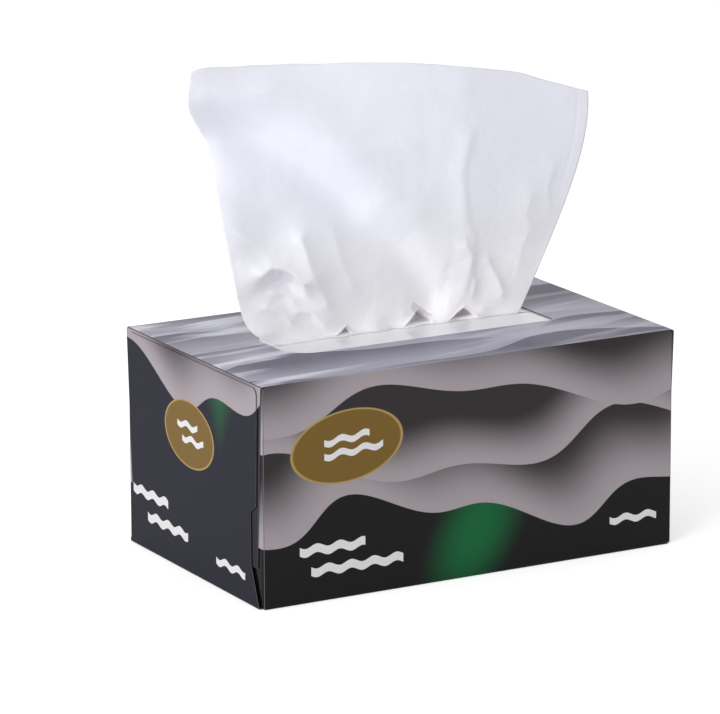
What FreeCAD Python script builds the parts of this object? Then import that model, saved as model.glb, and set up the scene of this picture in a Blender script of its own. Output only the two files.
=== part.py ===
"""Pop-up tissue box, in millimetres.

A folded and glued carton with a die-cut window, the clear film with its slit under that window, the clip of
interfolded tissues inside, and the sheet that stands up out of the slit. The origin is on the ground under the
middle of the carton, with X along the carton, the front at -Y and Z up.
"""
import FreeCAD, Part
import math
import os
import Sketcher

# Driving sizes: name, value and what it measures
SIZES = [
    ("box_length", 188.4, "carton, outside, along X"),
    ("box_depth", 114, "carton, outside, front to back"),
    ("box_height", 89, "carton, outside, from the ground to its top"),
    ("board", 0.45, "thickness of the carton board"),
    ("fold_radius", 1, "outer radius of every crease"),
    ("glue_gap", 0.1, "air and glue between layers of board"),
    ("crease_ease", 0.2, "flat board on each side of a crease"),
    ("seam_lap", 12, "height of the glue flap inside the back panel"),
    ("seam_lift", 0.3, "cut edge of the back panel above the ground"),
    ("inner_flap_gap", 0.3, "inner main flap, in from the corner edges at its crease"),
    ("outer_flap_foot", 2.4, "outer main flap, in from the corner edges at its crease"),
    ("dust_end_gap", 0.9, "dust flaps, in from the top and the ground"),
    ("dust_taper", 7, "dust flaps, how much each end slopes in"),
    ("dust_parting", 24, "space between the two dust flaps"),
    ("inner_flap_lift", 16, "free edge of the inner main flap above the ground"),
    ("inner_flap_taper", 4, "inner main flap, in from the corner edges at its free edge"),
    ("outer_flap_gap", 1.2, "free edge of the outer main flap below the top"),
    ("neck_inset", 8.5, "outer main flap, how far its waist is cut in"),
    ("neck_foot", 17, "height where the waist starts"),
    ("neck_head", 37.5, "height where the waist ends"),
    ("shoulder_inset", 4, "outer main flap, in from the corner edges at its shoulders"),
    ("shoulder_rise", 3.2, "height of the slope from waist to shoulder"),
    ("free_inset", 2.8, "outer main flap, in from the corner edges at its free edge"),
    ("flap_round", 3, "round at the free corners of the outer main flap"),
    ("window_length", 120, "die-cut window along X"),
    ("window_depth", 38, "die-cut window front to back"),
    ("window_shift", 1, "middle of the window along X"),
    ("window_round", 12, "radius of the window's left corners"),
    ("window_crisp", 3, "radius of the window's right corners"),
    ("film", 0.1, "thickness of the film"),
    ("film_margin", 12, "film glued to the board round the window"),
    ("film_round", 4, "corner radius of the film"),
    ("slit_length", 115, "opened slit, tip to tip"),
    ("slit_opening", 6.4, "opened slit, widest"),
    ("slit_air", 0.5, "air between the sheet and the edge of the slit"),
    ("slit_tip_air", 3, "slit left free at each end of the sheet"),
    ("stack_end_air", 1.55, "air between the clip and the dust flaps"),
    ("stack_side_air", 3.5, "air between the clip and the glue flap, and as much in front"),
    ("stack_headroom", 3.9, "air between the clip and the film"),
    ("stack_round", 6, "round along the top of the clip"),
    ("stack_foot_round", 1.5, "round along the foot of the clip"),
    ("bead_count", 20, "bundles of folds seen on a side of the clip"),
    ("bead_pitch", 3.5, "spacing of the bundles"),
    ("bead_width", 3.1, "height of one bundle"),
    ("bead_proud", 1, "how far a bundle stands out before it is rounded"),
    ("bead_round", 1.2, "round along a bundle"),
    ("bead_start", 6, "lowest bundle above the carton's floor"),
    ("sheet_length", 210, "tissue, from one free edge to the other"),
    ("sheet_thickness", 0.35, "two plies with their loft"),
    ("sheet_lean", -2.75, "middle of the standing free edge along X"),
    ("stand_height", 113.4, "left corner of the tissue above the carton"),
    ("stand_drop", 25, "how much lower the right corner hangs"),
    ("collar_height", 6, "height over which the sheet swells out of the slit"),
    ("fold_relief", 5, "depth that the folds of the standing sheet are shares of"),
    ("fold_spread", 10, "half width that the spreads of its folds are shares of"),
    ("take_up", 8, "length of sheet taken up by the folds"),
    ("lie_gap", 0.2, "air between the inner half of the sheet and the clip"),
    ("lie_margin", 4, "inner fold of the sheet, in from the side of the clip"),
    ("neck_bend", 1.5, "radius of the bend under the slit"),
    ("loop_radius", 0.9, "radius of the inner fold of the sheet"),
]

# Where the folds of the standing sheet lie: x and height of each point of the fold's line, as shares of the half
# width and of the standing height, then its depth as a share of the relief, and how far it spreads on the left and
# right of the line as shares of the spread. A positive depth goes away from the front.
FOLDS = [
    ([(-0.77, 0.82), (-0.57, 0.65), (-0.37, 0.50), (-0.09, 0.33), (0.20, 0.12)], 0.52, 1.70, 0.50),
    ([(-0.50, 0.79), (-0.24, 0.58), (0.00, 0.42), (0.24, 0.30)], -0.32, 1.80, 1.20),
    ([(0.30, 0.72), (0.32, 0.53), (0.36, 0.32), (0.40, 0.12)], -0.18, 0.30, 0.90),
    ([(0.50, 0.74), (0.50, 0.44), (0.53, 0.18)], 0.36, 1.00, 1.00),
    ([(0.77, 0.78), (0.70, 0.53), (0.64, 0.30)], -0.28, 0.90, 0.90),
    ([(-0.94, 0.88), (-0.86, 0.62), (-0.81, 0.39)], -0.32, 1.10, 1.10),
    ([(-0.79, 0.35), (-0.70, 0.19), (-0.66, 0.07)], -0.36, 0.90, 0.90),
    ([(-0.13, 0.39), (0.00, 0.23), (0.07, 0.11)], -0.36, 1.10, 1.10),
    ([(-0.67, 0.25), (-0.57, 0.26), (-0.48, 0.20)], -0.60, 0.90, 0.35),
    ([(-0.48, 0.35), (-0.36, 0.33), (-0.27, 0.19), (-0.21, 0.10)], -0.48, 1.00, 0.40),
]

# Hollows where the foot of the sheet lifts off the film: x as a share of the half width, spread and depth as above
HOLLOWS = [
    (-0.27, 0.40, 0.36),
    (0.09, 0.60, 0.56),
    (0.32, 0.60, 0.48),
]
HOLLOW_HEAD = 0.03

# How the standing sheet widens from the slit to its free edge, as shares of the way out for shares of the way up.
# The left edge starts with a jump, goes on steadily and swells near its top. The right edge eases off.
LEFT_JUMP = 0.385
LEFT_JUMP_RISE = 0.04
LEFT_SLOPE = 0.56
LEFT_SWELL = 0.12
LEFT_SWELL_RISE = 0.885
LEFT_SWELL_SPREAD = 0.09
RIGHT_SLOPE = 1.42
RIGHT_EASE_POWER = 4
DROP_POWER = 2.3

# Sampling of the sheet: across it, down its inner half and up its standing half
COLUMNS = 56
NECK_ROWS = 3
STAND_ROWS = 24
STAND_CROWDING = 1.7
PLEATS = 7


class Size:
    """A length: its value, for laying a shape out, and its words, which bind a feature to the sheet of sizes."""

    def __init__(self, value, words):
        self.value = value
        self.words = words

    def join(self, sign, other, value):
        return Size(value, f"({self.words} {sign} {as_size(other).words})")

    def __add__(self, other):
        return self.join("+", other, self.value + as_size(other).value)

    def __sub__(self, other):
        return self.join("-", other, self.value - as_size(other).value)

    def __mul__(self, other):
        return self.join("*", other, self.value * as_size(other).value)

    def __truediv__(self, other):
        return self.join("/", other, self.value / as_size(other).value)

    def __neg__(self):
        return Size(-self.value, f"(-1 * {self.words})")


def as_size(item):
    """A plain number written as a size."""
    if isinstance(item, Size):
        return item
    return Size(float(item), str(item))


class Sizes:
    """The driving sizes, each read from its cell of the sheet."""

    def __init__(self, doc):
        sheet = doc.addObject("Spreadsheet::Sheet", "sizes")
        for row, (alias, value, note) in enumerate(SIZES, start=1):
            sheet.set(f"A{row}", note)
            sheet.set(f"B{row}", str(value))
            sheet.setAlias(f"B{row}", alias)
        doc.recompute()
        for alias, value, note in SIZES:
            setattr(self, alias, Size(float(getattr(sheet, alias)), f"sizes.{alias}"))


def new_body(doc, label):
    """A body for one sub-part, at the common origin."""
    body = doc.addObject("PartDesign::Body", label)
    body.Label = label
    body.Placement = FreeCAD.Placement()
    return body


def new_sketch(body, name, plane, lift):
    """An empty sketch on one of the body's origin planes, lifted off it along its normal."""
    sketch = body.newObject("Sketcher::SketchObject", name)
    support = [item for item in body.Origin.OriginFeatures if item.Role == plane]
    sketch.AttachmentSupport = (support[0], [""])
    sketch.MapMode = "FlatFace"
    sketch.setExpression("AttachmentOffset.Base.z", as_size(lift).words)
    return sketch


def bind(sketch, name, size, kind, *places):
    """A sketch dimension that takes its value from the sheet of sizes."""
    number = sketch.addConstraint(Sketcher.Constraint(kind, *places, size.value))
    sketch.renameConstraint(number, name)
    sketch.setExpression(f"Constraints.{name}", size.words)


def place_corner(sketch, number, corner):
    """A construction point at one corner of an outline, tied to the axes or dimensioned from them."""
    across, up = as_size(corner[0]), as_size(corner[1])
    sketch.addGeometry(Part.Point(FreeCAD.Vector(across.value, up.value, 0)), True)
    if across.value == 0:
        sketch.addConstraint(Sketcher.Constraint("PointOnObject", number, 1, -2))
    else:
        bind(sketch, f"across_{number}", across, "DistanceX", -1, 1, number, 1)
    if up.value == 0:
        sketch.addConstraint(Sketcher.Constraint("PointOnObject", number, 1, -1))
    else:
        bind(sketch, f"up_{number}", up, "DistanceY", -1, 1, number, 1)
    return FreeCAD.Vector(across.value, up.value, 0)


def corner_arc(before, corner, after, radius):
    """The arc that rounds a corner, its two ends in order, and whether it turns left."""
    back = (before - corner).normalize()
    ahead = (after - corner).normalize()
    half = back.getAngle(ahead) / 2
    start = corner + back * (radius / math.tan(half))
    end = corner + ahead * (radius / math.tan(half))
    centre = corner + (back + ahead).normalize() * (radius / math.sin(half))
    turns_left = back.cross(ahead).z < 0
    first, last = (start, end) if turns_left else (end, start)
    angles = [math.atan2((point - centre).y, (point - centre).x) for point in (first, last)]
    if angles[1] < angles[0]:
        angles[1] += 2 * math.pi
    circle = Part.Circle(centre, FreeCAD.Vector(0, 0, 1), radius)
    return Part.ArcOfCircle(circle, *angles), start, end, turns_left


def outline(body, name, plane, corners, lift=0):
    """A closed outline. Each corner gives its two places, and a third entry is the radius that rounds it."""
    sketch = new_sketch(body, name, plane, lift)
    count = len(corners)
    points = [place_corner(sketch, number, corner) for number, corner in enumerate(corners)]
    starts, ends, arcs = list(points), list(points), {}
    for number, corner in enumerate(corners):
        if len(corner) == 3:
            before, after = points[number - 1], points[(number + 1) % count]
            arc, ends[number], starts[number], left = corner_arc(
                before, points[number], after, corner[2].value)
            arcs[number] = (sketch.addGeometry(arc), left)
    lines = []
    for number in range(count):
        follower = (number + 1) % count
        lines.append(sketch.addGeometry(Part.LineSegment(starts[number], ends[follower])))
        for end, corner in ((1, number), (2, follower)):
            if corner in arcs:
                sketch.addConstraint(Sketcher.Constraint("PointOnObject", corner, 1, lines[-1]))
            else:
                sketch.addConstraint(Sketcher.Constraint("Coincident", lines[-1], end, corner, 1))
    for number, (arc, left) in arcs.items():
        first, last = (1, 2) if left else (2, 1)
        sketch.addConstraint(Sketcher.Constraint("Tangent", lines[number - 1], 2, arc, first))
        sketch.addConstraint(Sketcher.Constraint("Tangent", lines[number], 1, arc, last))
        bind(sketch, f"round_{number}", corners[number][2], "Radius", arc)
    return sketch


def lens(body, name, plane, lift, middle, half_length, half_width):
    """A slit pulled open: two equal arcs that meet in its tips, on the sketch's own X axis."""
    sketch = new_sketch(body, name, plane, lift)
    radius = (half_length * half_length + half_width * half_width) / (half_width * 2)
    tips = [middle - half_length, middle + half_length]
    left, right = [FreeCAD.Vector(tip.value, 0, 0) for tip in tips]
    for number, side in enumerate((1, -1)):
        crown = FreeCAD.Vector(middle.value, side * half_width.value, 0)
        ends = (right, left) if side == 1 else (left, right)
        sketch.addGeometry(Part.Arc(ends[0], crown, ends[1]))
        bind(sketch, f"bow_{number}", radius, "Radius", number)
    for number, tip in ((2, 0), (1, 1)):
        sketch.addConstraint(Sketcher.Constraint("PointOnObject", 0, number, -1))
        bind(sketch, f"tip_{number}", tips[tip], "DistanceX", -1, 1, 0, number)
        sketch.addConstraint(Sketcher.Constraint("Coincident", 0, number, 1, 3 - number))
    return sketch


def pad(body, name, sketch, length, symmetric=False):
    """Board or film given its thickness, or a section run along the carton."""
    feature = body.newObject("PartDesign::Pad", name)
    feature.Profile = sketch
    feature.setExpression("Length", length.words)
    if symmetric:
        feature.SideType = "Symmetric"
    return feature


def pocket(body, name, sketch, depth):
    """A die cut down through a layer."""
    feature = body.newObject("PartDesign::Pocket", name)
    feature.Profile = sketch
    feature.setExpression("Length", depth.words)
    return feature


def mirror(body, name, features, plane):
    """The same features again on the other side of one of the body's origin planes."""
    support = [item for item in body.Origin.OriginFeatures if item.Role == plane]
    feature = body.newObject("PartDesign::Mirrored", name)
    feature.Originals = features
    feature.MirrorPlane = (support[0], [""])
    body.Tip = feature
    return feature


class Carton:
    """The folded carton: a glued tube of four panels, closed at each end by two dust flaps and two main flaps."""

    def __init__(self, doc, s):
        self.s = s
        self.body = new_body(doc, "carton")
        self.layer = s.board + s.glue_gap
        self.tube_end = self.layer * 2 + s.fold_radius + s.crease_ease - s.box_length / 2
        self.inner_radius = s.fold_radius - s.board
        self.bend_end = s.fold_radius + s.crease_ease

    def tube(self):
        """Back, top, front and bottom panel in one ring, with the glue flap inside the back panel."""
        s = self.s
        back, front = s.box_depth / 2, -s.box_depth / 2
        lap = back - self.layer
        section = outline(self.body, "tube_section", "YZ_Plane", [
            (back, s.seam_lift),
            (back, s.box_height, s.fold_radius),
            (front, s.box_height, s.fold_radius),
            (front, 0, s.fold_radius),
            (lap, 0, s.fold_radius),
            (lap, s.seam_lap),
            (lap - s.board, s.seam_lap),
            (lap - s.board, s.board, self.inner_radius),
            (front + s.board, s.board, self.inner_radius),
            (front + s.board, s.box_height - s.board, self.inner_radius),
            (back - s.board, s.box_height - s.board, self.inner_radius),
            (back - s.board, s.seam_lift),
        ])
        pad(self.body, "tube", section, -self.tube_end * 2, symmetric=True)

    def main_bend(self, name, face, ground, into, gap):
        """The crease that turns the top or bottom panel into a main flap whose outer side is at x = face."""
        s = self.s
        skin = ground + as_size(into) * s.board
        tip = ground + as_size(into) * self.bend_end
        section = outline(self.body, f"{name}_bend_section", "XZ_Plane", [
            (self.tube_end, ground),
            (face, ground, s.fold_radius),
            (face, tip),
            (face + s.board, tip),
            (face + s.board, skin, self.inner_radius),
            (self.tube_end, skin),
        ])
        return pad(self.body, f"{name}_bend", section, s.box_depth - gap * 2, symmetric=True)

    def flap_panel(self, name, face, edge):
        """A flat flap from the corners of its front half, which are repeated in the back half."""
        corners = [(-corner[0], *corner[1:]) for corner in edge]
        corners += list(reversed(edge))
        shape = outline(self.body, f"{name}_shape", "YZ_Plane", corners, lift=face)
        return pad(self.body, name, shape, self.s.board)

    def outer_flap(self):
        """Main flap of the bottom panel, on the outside, with a waist and shoulders."""
        s = self.s
        face = -s.box_length / 2
        half = s.box_depth / 2
        edge = [
            (half - s.outer_flap_foot, self.bend_end),
            (half - s.neck_inset, s.neck_foot),
            (half - s.neck_inset, s.neck_head),
            (half - s.shoulder_inset, s.neck_head + s.shoulder_rise),
            (half - s.free_inset, s.box_height - s.outer_flap_gap, s.flap_round),
        ]
        bend = self.main_bend("outer_flap", face, as_size(0), 1, s.outer_flap_foot)
        return [bend, self.flap_panel("outer_flap", face, edge)]

    def inner_flap(self):
        """Main flap of the top panel, glued behind the outer flap."""
        s = self.s
        face = self.layer - s.box_length / 2
        half = s.box_depth / 2
        edge = [
            (half - s.inner_flap_gap, s.box_height - self.bend_end),
            (half - s.inner_flap_taper, s.inner_flap_lift),
        ]
        bend = self.main_bend("inner_flap", face, s.box_height, -1, s.inner_flap_gap)
        return [bend, self.flap_panel("inner_flap", face, edge)]

    def dust_flap(self, name, side):
        """Dust flap of the front (side -1) or back panel (side 1), the innermost layer of the end."""
        s = self.s
        face = self.layer * 2 - s.box_length / 2
        side = as_size(side)
        wall = side * s.box_depth / 2
        skin = wall - side * s.board
        tip = wall - side * self.bend_end
        section = outline(self.body, f"{name}_bend_section", "XY_Plane", [
            (self.tube_end, wall),
            (face, wall, s.fold_radius),
            (face, tip),
            (face + s.board, tip),
            (face + s.board, skin, self.inner_radius),
            (self.tube_end, skin),
        ], lift=s.dust_end_gap)
        bend = pad(self.body, f"{name}_bend", section, s.box_height - s.dust_end_gap * 2)
        free = side * s.dust_parting / 2
        top = s.box_height - s.dust_end_gap
        shape = outline(self.body, f"{name}_shape", "YZ_Plane", [
            (tip, s.dust_end_gap),
            (free, s.dust_end_gap + s.dust_taper),
            (free, top - s.dust_taper),
            (tip, top),
        ], lift=face)
        return [bend, pad(self.body, name, shape, s.board)]

    def window(self):
        """Die-cut window in the top panel, rounder at its left end."""
        s = self.s
        left = s.window_shift - s.window_length / 2
        right = s.window_shift + s.window_length / 2
        shape = outline(self.body, "window_shape", "XY_Plane", [
            (left, -s.window_depth / 2, s.window_round),
            (right, -s.window_depth / 2, s.window_crisp),
            (right, s.window_depth / 2, s.window_crisp),
            (left, s.window_depth / 2, s.window_round),
        ], lift=s.box_height)
        pocket(self.body, "window", shape, s.board * 2)

    def build(self):
        self.tube()
        flaps = self.dust_flap("front_dust_flap", -1) + self.dust_flap("back_dust_flap", 1)
        flaps += self.inner_flap() + self.outer_flap()
        mirror(self.body, "other_end", flaps, "YZ_Plane")
        self.window()
        return self.body


def build_film(doc, s):
    """Clear film glued under the top panel, with its slit held open by the sheet."""
    body = new_body(doc, "window_film")
    left = s.window_shift - s.window_length / 2 - s.film_margin
    right = s.window_shift + s.window_length / 2 + s.film_margin
    reach = s.window_depth / 2 + s.film_margin
    top = s.box_height - s.board
    shape = outline(body, "film_shape", "XY_Plane", [
        (left, -reach, s.film_round),
        (right, -reach, s.film_round),
        (right, reach, s.film_round),
        (left, reach, s.film_round),
    ], lift=top - s.film)
    pad(body, "film_sheet", shape, s.film)
    slit = lens(body, "slit_shape", "XY_Plane", top, s.window_shift, s.slit_length / 2, s.slit_opening / 2)
    pocket(body, "slit", slit, s.film * 2)
    return body


def stack_length(s):
    """The clip, and each flat sheet in it, fills the carton between its innermost flaps."""
    layers = s.board * 3 + s.glue_gap * 2
    return s.box_length - (layers + s.stack_end_air) * 2


def stack_depth(s):
    """The clip from front to back, clear of the glue flap inside the back panel."""
    layers = s.board * 2 + s.glue_gap
    return s.box_depth - (layers + s.stack_side_air) * 2


def build_stack(doc, s):
    """The clip of interfolded tissues, whose folds show as beads along its two long sides."""
    body = new_body(doc, "tissue_stack")
    length, depth = stack_length(s), stack_depth(s)
    side = depth / 2 - s.bead_proud
    top = s.box_height - s.board - s.film - s.stack_headroom
    section = outline(body, "stack_section", "YZ_Plane", [
        (-side, s.board, s.stack_foot_round),
        (side, s.board, s.stack_foot_round),
        (side, top, s.stack_round),
        (-side, top, s.stack_round),
    ])
    pad(body, "stack_core", section, length, symmetric=True)
    foot = s.board + s.bead_start
    beads = []
    for name, way in (("front", -1), ("back", 1)):
        way = as_size(way)
        fold = outline(body, f"{name}_bead_section", "YZ_Plane", [
            (way * side, foot),
            (way * (side + s.bead_proud * 2), foot + s.bead_width / 2, s.bead_round),
            (way * side, foot + s.bead_width),
        ])
        beads.append(pad(body, f"{name}_bead", fold, length, symmetric=True))
    doc.recompute()
    rows = body.newObject("PartDesign::LinearPattern", "bead_rows")
    upright = [item for item in body.Origin.OriginFeatures if item.Role == "Z_Axis"]
    rows.Originals = beads
    rows.Direction = (upright[0], [""])
    rows.setExpression("Length", ((s.bead_count - 1) * s.bead_pitch).words)
    rows.setExpression("Occurrences", s.bead_count.words)
    body.Tip = rows
    return body


def smooth(share):
    """A step from 0 to 1 with no kink at either end."""
    share = min(1.0, max(0.0, share))
    return share * share * (3 - 2 * share)


def gap_to_segment(x, height, start, end):
    """Distance to a straight line between two points, and its side: 1 straight to the left, -1 to the right."""
    run = (end[0] - start[0], end[1] - start[1])
    length = math.hypot(*run)
    along = ((x - start[0]) * run[0] + (height - start[1]) * run[1]) / length ** 2
    along = min(1.0, max(0.0, along))
    gap = math.hypot(x - start[0] - along * run[0], height - start[1] - along * run[1])
    across = (run[0] * (height - start[1]) - run[1] * (x - start[0])) / length
    return gap, across / max(gap, 1e-6)


def ridge(x, height, line, left, right):
    """A ridge along a line: 1 on it, falling away over one spread on its left and another on its right."""
    found = [gap_to_segment(x, height, start, end) for start, end in zip(line, line[1:])]
    gap = min(found)[0]
    side = max((entry[1] for entry in found if entry[0] < gap + 1e-6), key=abs)
    spread = right + (left - right) * (0.5 + 0.5 * max(-1.0, min(1.0, side)))
    return math.exp(-(gap / spread) ** 2)


class Sheet:
    """The standing tissue: its middle surface as a formula, and the thin solid round it."""

    def __init__(self, s):
        self.width = stack_length(s).value
        self.thickness = s.sheet_thickness.value
        self.top = s.box_height.value
        self.level = self.top - s.board.value - s.film.value / 2
        self.slit_middle = s.window_shift.value
        self.foot_width = s.slit_length.value - 2 * s.slit_tip_air.value
        self.pleat = s.slit_opening.value / 2 - s.slit_air.value - self.thickness / 2
        self.lean = s.sheet_lean.value
        self.stand = s.stand_height.value
        self.drop = s.stand_drop.value
        self.collar = s.collar_height.value
        self.relief = s.fold_relief.value
        self.spread = s.fold_spread.value
        bed = self.level - s.film.value / 2 - s.stack_headroom.value
        self.lie = bed + self.thickness / 2 + s.lie_gap.value
        self.bend = s.neck_bend.value
        self.loop = s.loop_radius.value
        self.reach = stack_depth(s).value / 2 - s.lie_margin.value - self.loop
        self.fall = self.level - self.lie - self.bend
        spent = self.stand + s.take_up.value + self.fall
        spent += math.pi * (self.bend / 2 + self.loop) + self.reach - self.bend
        self.back_run = s.sheet_length.value - spent

    def free_height(self, share):
        """Height of the standing free edge above the carton, which drops towards its right corner."""
        return self.stand - self.drop * share ** DROP_POWER

    def standing(self, share, rise):
        """A point of the standing half: share goes across the sheet, rise from the film to the free edge."""
        foot = self.slit_middle + (share - 0.5) * self.foot_width
        free = self.lean + (share - 0.5) * self.width
        left = LEFT_JUMP * (1 - math.exp(-rise / LEFT_JUMP_RISE)) + LEFT_SLOPE * rise
        left += LEFT_SWELL * math.exp(-((rise - LEFT_SWELL_RISE) / LEFT_SWELL_SPREAD) ** 2)
        right = RIGHT_SLOPE * rise - (RIGHT_SLOPE - 1) * rise ** RIGHT_EASE_POWER
        x = foot + (free - foot) * ((1 - share) * left + share * right)
        z = self.level + rise * (self.top + self.free_height(share) - self.level)
        height = z - self.top
        swell = smooth((z - self.level) / self.collar)
        pleats = self.pleats(share) * (1 - smooth((z - self.level) / (2 * self.collar)))
        return FreeCAD.Vector(x, pleats + swell * self.folds(x, height), z)

    def pleats(self, share):
        """Small pleats that gather the sheet into the slit, shallower towards the slit's tips."""
        ease = 1 - (2 * share - 1) ** 2
        return self.pleat * ease * math.sin(2 * math.pi * PLEATS * share)

    def folds(self, x, height):
        """How far the standing sheet leaves its plane: its long folds and the hollows along its foot."""
        half, stand = self.width / 2, self.stand
        depth = 0.0
        for line, reach, left, right in FOLDS:
            line = [(point[0] * half, point[1] * stand) for point in line]
            depth += reach * ridge(x, height, line, left * self.spread, right * self.spread)
        for place, spread, reach in HOLLOWS:
            line = [(place * half, 0), (place * half, HOLLOW_HEAD * stand)]
            depth += reach * ridge(x, height, line, spread * self.spread, spread * self.spread)
        return depth * self.relief

    def lying(self, share, fall):
        """A point of the inner half, from the film (fall 0) down, along the clip and back over itself."""
        quarter, half_turn = math.pi * self.bend / 2, math.pi * self.loop
        run = self.reach - self.bend
        widening = smooth((fall - self.fall) / (run / 2))
        width = self.foot_width + (self.width - self.foot_width) * widening
        x = self.slit_middle * (1 - widening) + (share - 0.5) * width
        wave = self.pleats(share) * (1 - smooth(fall / self.fall))
        if fall < self.fall:
            return FreeCAD.Vector(x, wave, self.level - fall)
        fall -= self.fall
        if fall < quarter:
            turn = fall / self.bend
            return FreeCAD.Vector(x, self.bend * (1 - math.cos(turn)), self.lie + self.bend * (1 - math.sin(turn)))
        fall -= quarter
        if fall < run:
            return FreeCAD.Vector(x, self.bend + fall, self.lie)
        fall -= run
        if fall < half_turn:
            turn = fall / self.loop
            return FreeCAD.Vector(x, self.reach + self.loop * math.sin(turn),
                                  self.lie + self.loop * (1 - math.cos(turn)))
        fall -= half_turn
        return FreeCAD.Vector(x, self.reach - fall, self.lie + 2 * self.loop)

    def falls(self):
        """Stations down the inner half, closer together in its bends."""
        quarter, half_turn = math.pi * self.bend / 2, math.pi * self.loop
        run = self.reach - self.bend
        lengths = ((self.fall, NECK_ROWS), (quarter, 3), (run, 3), (half_turn, 5), (self.back_run, 1))
        stations, start = [], 0.0
        for length, steps in lengths:
            stations += [start + length * step / steps for step in range(1, steps + 1)]
            start += length
        return stations

    def poles(self, offset):
        """Rows of points of the sheet's middle surface, moved along its own normals by the offset."""
        shares = [column / COLUMNS for column in range(COLUMNS + 1)]
        rises = [(row / STAND_ROWS) ** STAND_CROWDING for row in range(STAND_ROWS, -1, -1)]
        rows = [[self.standing(share, rise) for share in shares] for rise in rises]
        rows += [[self.lying(share, fall) for share in shares] for fall in self.falls()]
        moved = []
        for number, row in enumerate(rows):
            above, below = rows[max(number - 1, 0)], rows[min(number + 1, len(rows) - 1)]
            line = []
            for column, point in enumerate(row):
                across = row[min(column + 1, COLUMNS)] - row[max(column - 1, 0)]
                along = below[column] - above[column]
                line.append(point + across.cross(along).normalize() * offset)
            moved.append(line)
        return moved

    def solid(self):
        """The front and back of the sheet in small flat facets, closed along its four edges."""
        front, back = self.poles(self.thickness / 2), self.poles(-self.thickness / 2)
        rows, columns = len(front), len(front[0])
        points = [point for side in (front, back) for row in side for point in row]
        far_side = rows * columns
        facets = []
        for row in range(rows - 1):
            for column in range(columns - 1):
                corner = row * columns + column
                square = [corner, corner + columns, corner + columns + 1, corner + 1]
                if is_longer(points, square):
                    square = square[1:] + square[:1]
                facets += [(square[0], square[1], square[2]), (square[0], square[2], square[3])]
        facets += [tuple(far_side + number for number in reversed(facet)) for facet in facets]
        rim = [column for column in range(columns - 1, 0, -1)]
        rim += [row * columns for row in range(rows - 1)]
        rim += [(rows - 1) * columns + column for column in range(columns - 1)]
        rim += [row * columns + columns - 1 for row in range(rows - 1, 0, -1)]
        for here, there in zip(rim, rim[1:] + rim[:1]):
            facets += [(here, there, far_side + there), (here, far_side + there, far_side + here)]
        shell = Part.Shape()
        shell.makeShapeFromMesh((points, facets), self.thickness / 1000)
        solid = Part.makeSolid(Part.Shell(shell.Faces))
        if solid.Volume < 0:
            solid.reverse()
        return solid


def is_longer(points, square):
    """Whether the first diagonal of four points is longer than the second."""
    corners = [points[number] for number in square]
    return corners[0].distanceToPoint(corners[2]) > corners[1].distanceToPoint(corners[3])


def build_sheet(doc, s):
    """The tissue that stands in the slit."""
    feature = doc.addObject("Part::Feature", "pop_up_tissue")
    feature.Label = "pop_up_tissue"
    feature.Shape = Sheet(s).solid()
    feature.Placement = FreeCAD.Placement()
    return feature


def check(doc, parts):
    """Stop if any feature failed or any sub-part is empty, broken or in several solids."""
    for item in doc.Objects:
        if "Invalid" in item.State or "Error" in item.State:
            raise RuntimeError(f"{item.Name} failed: {item.State}")
    for part in parts:
        shape = part.Shape
        if shape.isNull() or not shape.isValid() or len(shape.Solids) != 1 or shape.Volume <= 0:
            raise RuntimeError(f"{part.Label} is not one sound solid")


def main():
    os.makedirs("parts", exist_ok=True)
    doc = FreeCAD.newDocument("tissue_box")
    sizes = Sizes(doc)
    parts = [
        Carton(doc, sizes).build(),
        build_film(doc, sizes),
        build_stack(doc, sizes),
        build_sheet(doc, sizes),
    ]
    doc.recompute()
    check(doc, parts)
    for part in parts:
        part.Shape.exportStep(f"parts/{part.Label}.step")
        print(part.Label, round(part.Shape.Volume, 1), part.Shape.BoundBox)


main()
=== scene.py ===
"""Looks of the pop-up tissue box: printed board, clear film, clip of tissues and the sheet in the slit."""
import math

import bpy
from mathutils import Matrix, Vector, noise


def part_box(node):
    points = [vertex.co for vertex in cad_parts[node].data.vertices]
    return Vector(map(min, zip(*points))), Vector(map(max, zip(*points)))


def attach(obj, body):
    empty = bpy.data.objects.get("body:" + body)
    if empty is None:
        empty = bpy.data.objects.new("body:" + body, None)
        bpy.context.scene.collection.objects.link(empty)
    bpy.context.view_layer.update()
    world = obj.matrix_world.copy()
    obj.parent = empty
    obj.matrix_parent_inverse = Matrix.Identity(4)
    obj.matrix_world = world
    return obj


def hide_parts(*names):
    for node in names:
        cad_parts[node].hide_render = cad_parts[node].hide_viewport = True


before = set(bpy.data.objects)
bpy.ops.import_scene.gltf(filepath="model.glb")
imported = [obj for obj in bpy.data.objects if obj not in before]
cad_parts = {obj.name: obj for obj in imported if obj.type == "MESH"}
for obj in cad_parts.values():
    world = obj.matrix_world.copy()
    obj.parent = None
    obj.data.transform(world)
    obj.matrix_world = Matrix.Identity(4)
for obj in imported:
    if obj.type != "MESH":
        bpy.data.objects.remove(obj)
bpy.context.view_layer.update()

MM = 0.001

# Places read from the frame
carton_low, carton_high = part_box("carton")
film_low, film_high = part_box("window_film")
clip_low, clip_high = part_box("tissue_stack")
HALF_LENGTH = carton_high.x
HALF_DEPTH = carton_high.y
TOP = carton_high.z
FILM_LEVEL = (film_low.z + film_high.z) / 2
CLIP_TOP = clip_high.z

# The carton's folds and window, the slit of the film, how far its edges part, and the film's thickness
FOLD_RADIUS = 1.0 * MM
WINDOW_MIDDLE = 1.0 * MM
SLIT_LENGTH = 115 * MM
SLIT_OPENING = 6.4 * MM
SLIT_TIP_AIR = 3 * MM
LIP_GAP = 0.25 * MM
FILM_THICKNESS = 0.06 * MM

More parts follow.
